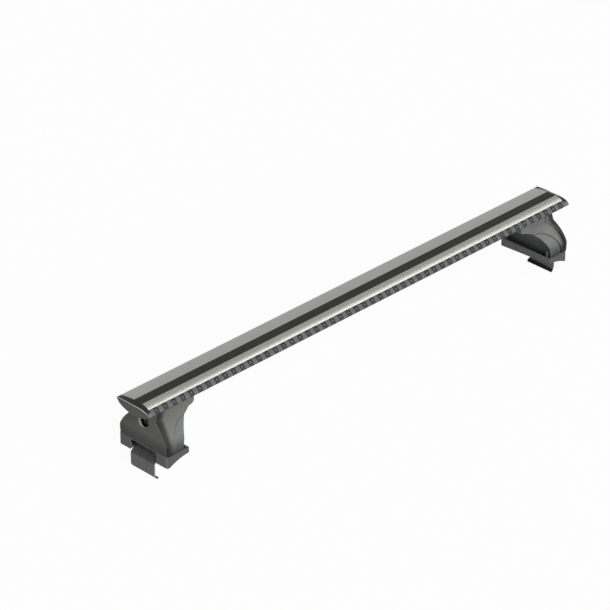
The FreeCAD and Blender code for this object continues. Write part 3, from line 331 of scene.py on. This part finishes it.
def painted_shell_shade(tree, place):
    """Painted shade at the foot of the shells, just above the tray's rim, and at the neck under the bar."""
    return ramp_share(tree, coordinate(tree, place, "Z"), SHELLS_PAINTED_SHADE)


def painted_flank_shade(tree, place):
    """Painted shade on the tray's flanks, at the front and the rear."""
    return ramp_share(tree, unsigned(tree, coordinate(tree, place, "Y")), FLANKS_PAINTED_SHADE)


def painted_limb_shade(tree, place):
    """Painted shade on the bracket's limb, which slants up into the foot from the bend above its plate."""
    return ramp_share(tree, coordinate(tree, place, "Z"), LIMB_PAINTED_SHADE, BRACKET_BEND)


def anodised_aluminium(tint):
    """Extruded and anodised aluminium: a soft metal sheen with die lines along the bar.

    The lines are some 0.2 mm apart on the real bar. They are drawn 1.2 mm wide and very shallow, because
    finer ones would fall between the picture's pixels.
    """
    return surface("anodised_aluminium", tint, spread=0.02, grain=1.2 * MM, stretch=400, relief=0.0001 * MM,
                   roughness=0.28, metallic=1.0)


def dull_rubber(name, tint):
    """EPDM rubber, extruded for the strip and moulded for the pads: dull and dark, with faint long lines."""
    return surface(name, tint, spread=0.08, grain=1.5 * MM, stretch=60, relief=0.02 * MM, roughness=0.75,
                   specular=0.1)


def moulded_nylon(name, tint, grain, roughness, specular=0.15, shades=()):
    """Glass-filled nylon from a mould with an etched grain: a dull sheen and a fine leathery grain."""
    return surface(name, tint, spread=0.05, grain=grain, relief=0.02 * MM, roughness=roughness,
                   specular=specular, shades=shades)


def powder_coat(tint):
    """Baked powder on pressed steel: an even, slightly pebbled skin, with painted shade on the limb."""
    return surface("powder_coat", tint, spread=0.05, grain=1.4 * MM, relief=0.03 * MM, roughness=0.5,
                   specular=0.25, shades=(painted_limb_shade,))


def zinc_plate(tint):
    """Black zinc on steel: a dark metal with a milky, uneven sheen."""
    return surface("zinc_plate", tint, spread=0.12, grain=2.5 * MM, relief=0.006 * MM, roughness=0.4,
                   metallic=1.0)


def finish_piece(piece, material, body, slot, *nodes):
    """Give a piece its material and the body that it rides on, and hide the nodes that it stands for.

    The slot is not used.
    """
    piece.data.materials.clear()
    piece.data.materials.append(material)
    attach(piece, body)
    if nodes:
        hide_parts(*nodes)


def new_object(name, data):
    """Object at the origin that shows a mesh, a lamp or a camera."""
    made = bpy.data.objects.new(name, data)
    bpy.context.scene.collection.objects.link(made)
    return made


def softened(name, node, edge):
    """Copy of a node with whole flat faces, smooth curves, and sharp edges rounded to the width edge."""
    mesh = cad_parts[node].data.copy()
    mesh.name = name
    mesh.materials.clear()
    shape = bmesh.new()
    shape.from_mesh(mesh)
    bmesh.ops.remove_doubles(shape, verts=shape.verts, dist=MERGE_REACH)
    bmesh.ops.dissolve_limit(shape, angle_limit=math.radians(FLAT_ANGLE), verts=shape.verts,
                             edges=shape.edges)
    shape.to_mesh(mesh)
    shape.free()
    mesh.shade_smooth()
    mesh.set_sharp_from_angle(angle=math.radians(CREASE_ANGLE))
    made = new_object(name, mesh)
    bevel = made.modifiers.new("edges", "BEVEL")
    bevel.limit_method = "ANGLE"
    bevel.angle_limit = math.radians(CREASE_ANGLE)
    bevel.width = edge
    bevel.segments = EDGE_SEGMENTS
    bevel.harden_normals = True
    return made


class CROSSBAR_OT_stage(bpy.types.Operator):
    """Floor, lamps, world and camera"""
    bl_idname = "crossbar.stage"
    bl_label = "Stage"

    def execute(self, context):
        scene = context.scene
        scene.view_settings.view_transform = "Standard"
        floor_mesh = bpy.data.meshes.new("floor")
        ways = ((-1, -1), (1, -1), (1, 1), (-1, 1))
        corners = [(x * FLOOR_REACH, y * FLOOR_REACH, 0) for x, y in ways]
        floor_mesh.from_pydata(corners, [], [(0, 1, 2, 3)])
        floor = new_object("floor", floor_mesh)
        floor_mesh.materials.append(studio_floor(scene.crossbar_colours.floor))
        scene.world = studio_world()
        for name, (source, strength, width) in LAMPS.items():
            lamp(name, source, strength, width)
        camera = new_object("camera", bpy.data.cameras.new("camera"))
        camera.location = CAMERA_PLACE
        camera.rotation_euler = [math.radians(angle) for angle in CAMERA_TURN]
        camera.data.lens = CAMERA_LENS
        camera.data.clip_end = CAMERA_REACH
        scene.camera = camera
        return {"FINISHED"}


def seen_share(tree):
    """One for rays from the camera, off glossy surfaces and through clear ones, and nought for the rest."""
    rays = add(tree, "ShaderNodeLightPath").outputs
    seen = rays["Is Camera Ray"]
    for other in ("Is Glossy Ray", "Is Transmission Ray"):
        seen = add(tree, "ShaderNodeMath", {}, {0: seen, 1: rays[other]}, operation="MAXIMUM").outputs[0]
    return seen


def studio_floor(tint):
    """Pale painted floor that the camera and reflections see near white, and that still takes the shadow."""
    material = bpy.data.materials.new("studio_floor")
    tree = empty_tree(material)
    white = add(tree, "ShaderNodeMath", {1: FLOOR_WHITE}, {0: seen_share(tree)}, operation="MULTIPLY")
    matt = add(tree, "ShaderNodeBsdfDiffuse", {"Color": (*tint, 1)})
    bright = add(tree, "ShaderNodeEmission", {"Strength": 1.0})
    mix = add(tree, "ShaderNodeMixShader", {},
              {0: white.outputs[0], 1: matt.outputs[0], 2: bright.outputs[0]})
    add(tree, "ShaderNodeOutputMaterial", {}, {"Surface": mix.outputs[0]})
    return material


def studio_world():
    """White to the camera and in reflections. The light for everything else is grey, and weaker overhead."""
    world = bpy.data.worlds.new("studio")
    tree = empty_tree(world)
    way = add(tree, "ShaderNodeTexCoord").outputs["Generated"]
    level, overhead = SKY_LIGHT
    sky = add(tree, "ShaderNodeMapRange", {"To Min": level, "To Max": overhead},
              {"Value": coordinate(tree, way, "Z")})
    strength = add(tree, "ShaderNodeMapRange", {"To Max": 1.0},
                   {"Value": seen_share(tree), "To Min": sky.outputs["Result"]})
    light = add(tree, "ShaderNodeBackground", {"Color": (1, 1, 1, 1)},
                {"Strength": strength.outputs["Result"]})
    add(tree, "ShaderNodeOutputWorld", {}, {"Surface": light.outputs[0]})
    return world


def lamp(name, source, strength, width):
    """Distant lamp whose light comes from the direction source, width degrees wide.

    It leans by the angle whose cosine is the direction's height over its length, and turns a quarter turn
    past the direction's own angle in plan.
    """
    data = bpy.data.lights.new(name, "SUN")
    data.energy = strength
    data.angle = math.radians(width)
    along, across, up = source
    lean = math.acos(up / math.hypot(along, across, up))
    turn = math.atan2(across, along) + math.pi / 2
    new_object(name, data).rotation_euler = (lean, 0, turn)


def arc(start, end, radius):
    """Points from start to end on a round that swells to the right of the way, about a degree apart.

    The middle lies left of the chord's middle by the root of radius squared less half the chord squared. Each
    point is the middle plus the radius turned by an angle that goes evenly from the start's to the end's.
    """
    start, end = np.array(start, float), np.array(end, float)
    chord = end - start
    half = np.linalg.norm(chord) / 2
    left = np.array((-chord[1], chord[0])) / (2 * half)
    middle = (start + end) / 2 + left * math.sqrt(radius ** 2 - half ** 2)
    across, up = start - middle
    sweep = 2 * math.asin(half / radius)
    angles = math.atan2(up, across) + np.linspace(0, sweep, max(round(math.degrees(sweep)), 3) + 1)
    return middle + radius * np.stack((np.cos(angles), np.sin(angles)), axis=1)


def bar_section():
    """Outer loop of the extrusion's section and the loops of its two side chambers, in millimetres.

    Points are (across, up) from the middle of the top slot on the top surface. The outer loop runs from the
    slot over the nose and the belly to the tail and back, and the chambers run the other way round.
    """
    half_mouth, half_slot, lip, depth = 10.5, 13.7, -3, -10.2
    half_low_mouth, half_low_slot, low_lip, low_top = 5, 11, -22.2, -12.8
    nose_upper, nose_lower = (-27.1, -5.2), (-32.6, -16.4)
    seat_upper, seat_lower = (-26.05, -8.2), (-30.8, -14)
    belly_rear, tail_low, tail_high = (39, -14.7), (45.2, -6.98), (44.25, -4.66)
    front_radius, belly_radius, rear_belly_radius, tail_radius, rear_radius = 54, 74, 60, 1.9, 290
    belly = arc(nose_lower, belly_rear, belly_radius)
    belly_low = np.interp(half_low_mouth, belly[:, 0], belly[:, 1])
    low_slot = [
        (-half_low_mouth, belly_low), (-half_low_mouth, low_lip), (-half_low_slot, low_lip),
        (-half_low_slot, low_top), (half_low_slot, low_top), (half_low_slot, low_lip),
        (half_low_mouth, low_lip), (half_low_mouth, belly_low),
    ]
    top_slot = [
        (half_mouth, lip), (half_slot, lip), (half_slot, depth),
        (-half_slot, depth), (-half_slot, lip), (-half_mouth, lip),
    ]
    outer = [
        arc((-half_mouth, 0), nose_upper, front_radius), [seat_upper, seat_lower],
        belly[belly[:, 0] < -half_low_mouth], low_slot, belly[belly[:, 0] > half_low_mouth],
        arc(belly_rear, tail_low, rear_belly_radius)[1:], arc(tail_low, tail_high, tail_radius)[1:],
        arc(tail_high, (half_mouth, 0), rear_radius)[1:], top_slot,
    ]
    front = [(-15.9, -2.64), (-15.9, -21.5), (-29.04, -14.77), (-24.29, -9.52), (-22.7, -5.64)]
    rear = [(15.9, -2.64), (38.6, -7.72), (35.48, -12.72), (15.9, -21.5)]
    return np.concatenate(outer), [clockwise(chamber) for chamber in (front, rear)]


def clockwise(points):
    """The loop's points in clockwise order, turned round where the area by the shoelace formula is positive.

    That area's double is the sum, over the points, of across times the next one's up less the reverse.
    """
    points = np.array(points, float)
    following = np.roll(points, -1, axis=0)
    area = np.sum(points[:, 0] * following[:, 1] - following[:, 0] * points[:, 1])
    return points[::-1] if area > 0 else points


def extruded(name, loops, half_length):
    """Mesh of a section's loops carried along X from minus to plus half_length, with flat ends.

    Each loop gives one ring of quads. The ends are the section's triangles, with the chambers left open. A
    triangle is turned round where twice its area, the cross product of two of its sides, is negative.
    """
    section = np.concatenate(loops)
    count = len(section)
    places = np.empty((2 * count, 3))
    places[:, 0] = np.repeat((-half_length, half_length), count)
    places[:, 1:] = np.tile(section, (2, 1))
    faces = []
    first = 0
    for loop in loops:
        near = first + np.arange(len(loop))
        after = np.roll(near, -1)
        faces += np.stack((near, after, after + count, near + count), axis=1).tolist()
        first += len(loop)
    triangles = np.array(tessellate_polygon([[Vector((y, z, 0)) for y, z in loop] for loop in loops]))
    one, two, three = section[triangles].transpose(1, 0, 2)
    doubled = (two - one)[:, 0] * (three - one)[:, 1] - (two - one)[:, 1] * (three - one)[:, 0]
    triangles[doubled < 0] = triangles[doubled < 0][:, ::-1]
    faces += (triangles + count).tolist() + triangles[:, ::-1].tolist()
    mesh = bpy.data.meshes.new(name)
    mesh.from_pydata(places.tolist(), [], faces)
    mesh.shade_smooth()
    mesh.set_sharp_from_angle(angle=math.radians(SECTION_ANGLE))
    return mesh


class CROSSBAR_OT_extrusion(bpy.types.Operator):
    """Aluminium bar"""
    bl_idname = "crossbar.extrusion"
    bl_label = "Extrusion"

    def execute(self, context):
        outer, chambers = bar_section()
        place = np.array((SLOT_MIDDLE, BAR_TOP))
        loops = [loop * MM + place for loop in (outer, *chambers)]
        half_length = max(corner[0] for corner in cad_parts["crossbar"].bound_box)
        piece = new_object("bar_extrusion", extruded("bar_extrusion", loops, half_length))
        material = anodised_aluminium(context.scene.crossbar_colours.aluminium)
        finish_piece(piece, material, "bar", "bar_aluminium", "crossbar")
        return {"FINISHED"}


class CROSSBAR_OT_strips(bpy.types.Operator):
    """Rubber strip in the top slot and strip along the leading edge"""
    bl_idname = "crossbar.strips"
    bl_label = "Strips"

    def execute(self, context):
        sizes = context.scene.crossbar_sizes
        tints = context.scene.crossbar_colours
        strip = softened("slot_rubber", "slot_strip", sizes.metal_edge)
        rubber = dull_rubber("extruded_rubber", tints.strip)
        finish_piece(strip, rubber, "bar", "strip_rubber", "slot_strip")
        nose = softened("nose_moulding", "nose_strip", sizes.metal_edge / 2)
        nylon = moulded_nylon("strip_nylon", tints.nose, grain=0.8 * MM, roughness=0.45)
        finish_piece(nose, nylon, "bar", "nose_plastic", "nose_strip")
        # The notches' darker tint paints the shade in them
        nose.data.materials.append(
            moulded_nylon("notch_painted_shade", tints.notch, grain=0.8 * MM, roughness=0.6, specular=0.1))
        paint_notches(nose.data, sizes)
        return {"FINISHED"}


def paint_notches(mesh, sizes):
    """Second material, a darker tint that paints shade, on the faces that lie deep under the strip's upper
    round.

    The round goes through the strip's upper edge and its foremost point. Its middle lies behind the chord's
    middle by the root of nose_radius squared less half the chord squared, and a face's depth is nose_radius
    less the distance of its own middle from that.
    """
    centres = np.empty(len(mesh.polygons) * 3)
    mesh.polygons.foreach_get("center", centres)
    across, up = centres[1::3], centres[2::3]
    chord = NOSE_TIP - NOSE_UPPER
    half = np.linalg.norm(chord) / 2
    inward = np.array((-chord[1], chord[0])) / (2 * half)
    offset = math.sqrt(sizes.nose_radius ** 2 - half ** 2)
    middle = (NOSE_UPPER + NOSE_TIP) / 2 + inward * offset
    depth = sizes.nose_radius - np.hypot(across - middle[0], up - middle[1])
    deep = (depth > sizes.notch_start) & (depth < sizes.notch_end)
    above_tip = up > NOSE_TIP[1] - sizes.notch_end
    mesh.polygons.foreach_set("material_index", (deep & above_tip).astype(np.int32))


class CROSSBAR_OT_end_caps(bpy.types.Operator):
    """Caps at both ends of the bar"""
    bl_idname = "crossbar.end_caps"
    bl_label = "End caps"

    def execute(self, context):
        sizes = context.scene.crossbar_sizes
        tints = context.scene.crossbar_colours
        # The crown's darker tint paints shade, and the rim's light tint paints a highlight
        face = moulded_nylon("cap_nylon", tints.cap, grain=0.9 * MM, roughness=0.5)
        crown = moulded_nylon("crown_painted_shade", tints.crown, grain=0.9 * MM, roughness=0.35)
        rim = moulded_nylon("rim_painted_highlight", tints.rim, grain=0.9 * MM, roughness=0.35)
        for side in SIDES:
            piece = softened(f"cap_{side}", f"end_cap_{side}", sizes.moulded_edge)
            finish_piece(piece, face, "bar", "cap_plastic", f"end_cap_{side}")
            piece.data.materials.append(crown)
            piece.data.materials.append(rim)
            paint_cap(piece.data, sizes.cap_edge)
        return {"FINISHED"}


def paint_cap(mesh, edge):
    """Second material, a darker tint that paints shade, on the cap's crown, and third, a light tint that
    paints a highlight, on the upper stretch of its rim.

    The crown's normals point up. The rim's faces have their middles less than edge short of the cap's outer
    end and lean up, which its outer face doesn't.
    """
    normals = np.empty(len(mesh.polygons) * 3)
    middles = np.empty(len(mesh.polygons) * 3)
    mesh.polygons.foreach_get("normal", normals)
    mesh.polygons.foreach_get("center", middles)
    away, up = np.abs(middles[0::3]), normals[2::3]
    rim = (away > np.max(away) - edge) & (up > RIM_UP)
    mesh.polygons.foreach_set("material_index", np.where(rim, 2, up > CROWN_UP).astype(np.int32))


class CROSSBAR_OT_foot_shells(bpy.types.Operator):
    """Outer covers, inner bodies and base trays of the feet"""
    bl_idname = "crossbar.foot_shells"
    bl_label = "Foot shells"

    def execute(self, context):
        tints = context.scene.crossbar_colours
        edge = context.scene.crossbar_sizes.moulded_edge
        # The cover's shares paint shade in a hollow, at the seam, low down and under the bar, and a highlight
        # on the key hole's rim; the body's and the tray's paint shade
        cover = moulded_nylon("cover_nylon", tints.cover, grain=0.9 * MM, roughness=0.5,
                              shades=(painted_hollow_shade, painted_crescent_highlight, painted_seam_shade, painted_shell_shade))
        body = moulded_nylon("body_nylon", tints.body, grain=0.7 * MM, roughness=0.45,
                             shades=(painted_shell_shade,))
        tray = moulded_nylon("tray_nylon", tints.tray, grain=0.9 * MM, roughness=0.55,
                             shades=(painted_flank_shade,))
        shells = [
            ("cover", "foot_cover", "cover_plastic", cover),
            ("column", "foot_body", "body_plastic", body),
            ("tray", "base_tray", "tray_plastic", tray),
        ]
        for name, node, slot, material in shells:
            for side in SIDES:
                piece = softened(f"{name}_{side}", f"{node}_{side}", edge)
                finish_piece(piece, material, f"foot_{side}", slot, f"{node}_{side}")
        # The skirts close the gap under the body's panels and stand in for the shade in the recess behind
        # them
        for side, way in zip(SIDES, (-1, 1)):
            skirt = new_object(f"skirt_{side}", shade_skirt(f"skirt_{side}", way))
            finish_piece(skirt, body, f"foot_{side}", "body_plastic")
        return {"FINISHED"}


def shade_skirt(name, way):
    """Thin wall from the lower edge of the body's panel to the tray's floor, which falls towards the rear.
    It closes the gap under the panel and stands in for the shade in the recess there.

    The two faces along the bar each have four corners: the floor at the front and rear, and the panel's edge
    above.
    """
    half = PANEL_HALF_WIDTH
    outline = [(-half, FLOOR_FRONT), (half, FLOOR_REAR), (half, PANEL_LOW), (-half, PANEL_LOW)]
    count = len(outline)
    corners = [(way * along, y, z) for along in PANEL_ALONG for y, z in outline]
    ends = [(0, 1, 2, 3), (7, 6, 5, 4)]
    walls = [(count + n, count + (n + 1) % count, (n + 1) % count, n) for n in range(count)]
    faces = [face if way < 0 else face[::-1] for face in ends + walls]
    mesh = bpy.data.meshes.new(name)
    mesh.from_pydata(corners, [], faces)
    return mesh


class CROSSBAR_OT_clamps(bpy.types.Operator):
    """Clamp brackets and the rubber on their lips"""
    bl_idname = "crossbar.clamps"
    bl_label = "Clamps"

    def execute(self, context):
        tints = context.scene.crossbar_colours
        edge = context.scene.crossbar_sizes.metal_edge
        steel = powder_coat(tints.bracket)
        rubber = dull_rubber("moulded_rubber", tints.pad)
        for side in SIDES:
            plate = softened(f"bracket_{side}", f"clamp_bracket_{side}", edge)
            finish_piece(plate, steel, f"bracket_{side}", "coated_steel", f"clamp_bracket_{side}")
            pad = softened(f"pad_{side}", f"hook_pad_{side}", edge)
            finish_piece(pad, rubber, f"bracket_{side}", "hook_rubber", f"hook_pad_{side}")
        return {"FINISHED"}


class CROSSBAR_OT_hardware(bpy.types.Operator):
    """Screws, washers, nuts, pins, posts and T-plates"""
    bl_idname = "crossbar.hardware"
    bl_label = "Hardware"

    def execute(self, context):
        edge = context.scene.crossbar_sizes.metal_edge
        zinc = zinc_plate(context.scene.crossbar_colours.steel)
        nylon = bpy.data.materials["body_nylon"]
        pieces = [
            ("screw", "clamp_screw", "screw", zinc),
            ("washer", "screw_washer", "foot", zinc),
            ("barrel", "barrel_nut", "nut", zinc),
            ("pivot", "pivot_pin", "foot", nylon),
            ("t_plate", "slot_plate", "foot", zinc),
            ("bolts", "bar_bolts", "foot", zinc),
            ("posts", "tray_studs", "foot", nylon),
        ]
        for name, node, body, material in pieces:
            for side in SIDES:
                piece = softened(f"{name}_{side}", f"{node}_{side}", edge)
                finish_piece(piece, material, f"{body}_{side}", "plated_steel", f"{node}_{side}")
        return {"FINISHED"}


class CROSSBAR_PT_sidebar(bpy.types.Panel):
    """Sizes, colours and pieces of the crossbar"""
    bl_label = "Crossbar"
    bl_idname = "CROSSBAR_PT_sidebar"
    bl_space_type = "VIEW_3D"
    bl_region_type = "UI"
    bl_category = "Crossbar"

    def draw(self, context):
        for group in (context.scene.crossbar_sizes, context.scene.crossbar_colours):
            for name in group.__annotations__:
                self.layout.prop(group, name)
        for operator in OPERATORS:
            self.layout.operator(operator.bl_idname)


OPERATORS = (
    CROSSBAR_OT_stage,
    CROSSBAR_OT_extrusion,
    CROSSBAR_OT_strips,
    CROSSBAR_OT_end_caps,
    CROSSBAR_OT_foot_shells,
    CROSSBAR_OT_clamps,
    CROSSBAR_OT_hardware,
)
CLASSES = (CrossbarSizes, CrossbarColours) + OPERATORS + (CROSSBAR_PT_sidebar,)


def register():
    """Make the classes and the scene's settings known."""
    for item in CLASSES:
        bpy.utils.register_class(item)
    bpy.types.Scene.crossbar_sizes = bpy.props.PointerProperty(type=CrossbarSizes)
    bpy.types.Scene.crossbar_colours = bpy.props.PointerProperty(type=CrossbarColours)


def unregister():
    """Take them back."""
    del bpy.types.Scene.crossbar_colours
    del bpy.types.Scene.crossbar_sizes
    for item in reversed(CLASSES):
        bpy.utils.unregister_class(item)


def main():
    """Build every piece in order."""
    register()
    bpy.ops.crossbar.stage()
    bpy.ops.crossbar.extrusion()
    bpy.ops.crossbar.strips()
    bpy.ops.crossbar.end_caps()
    bpy.ops.crossbar.foot_shells()
    bpy.ops.crossbar.clamps()
    bpy.ops.crossbar.hardware()


if __name__ == "__main__":
    main()
